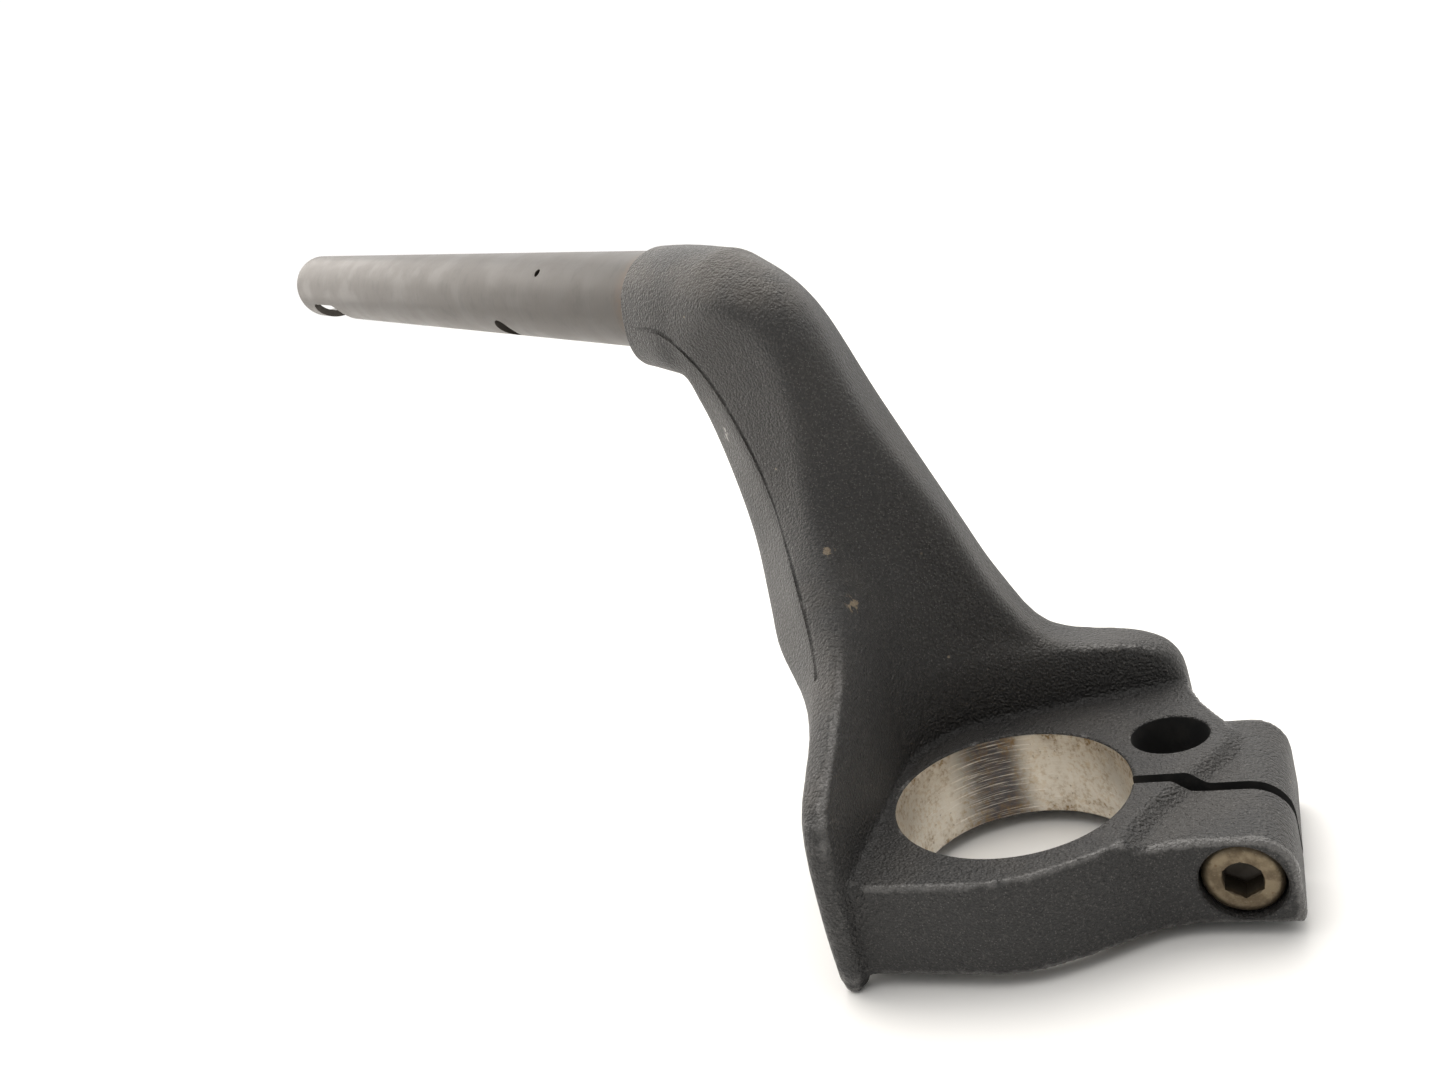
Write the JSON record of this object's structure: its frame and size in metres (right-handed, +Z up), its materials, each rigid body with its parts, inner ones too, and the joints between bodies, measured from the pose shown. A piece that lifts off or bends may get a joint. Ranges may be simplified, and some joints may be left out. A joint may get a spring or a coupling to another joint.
{
  "type": "motorcycle clip-on handlebar",
  "caption": "Right-hand clip-on handlebar: black cast riser arm with a split clamp for a fork tube, a pinch bolt and a steel grip tube.",
  "frame": {"origin": "on the fork tube's axis, in the flat top face of the clamp ring", "axes": "+Z up the fork tube, +X from the bore to the pinch ear, +Y towards the rear, away from the bolt's head"},
  "size_m": [0.3176, 0.2245, 0.1584],
  "materials": {
    "powder_coat": "black textured powder coat over cast aluminium, bore machined bare",
    "tube_steel": "dark satin coated steel, rubbed",
    "bolt_steel": "dull yellowed zinc-plated steel"
  },
  "bodies": {
    "bar": {"arm_casting": "powder_coat", "grip_tube": "tube_steel"},
    "bolt": {"clamp_bolt": "bolt_steel"}
  },
  "joints": [
    {"name": "clamp_bolt_out", "type": "slide", "parent": "bar", "child": "bolt", "axis": [0, -1, 0], "range_m": [0, 0.021]}
  ]
}
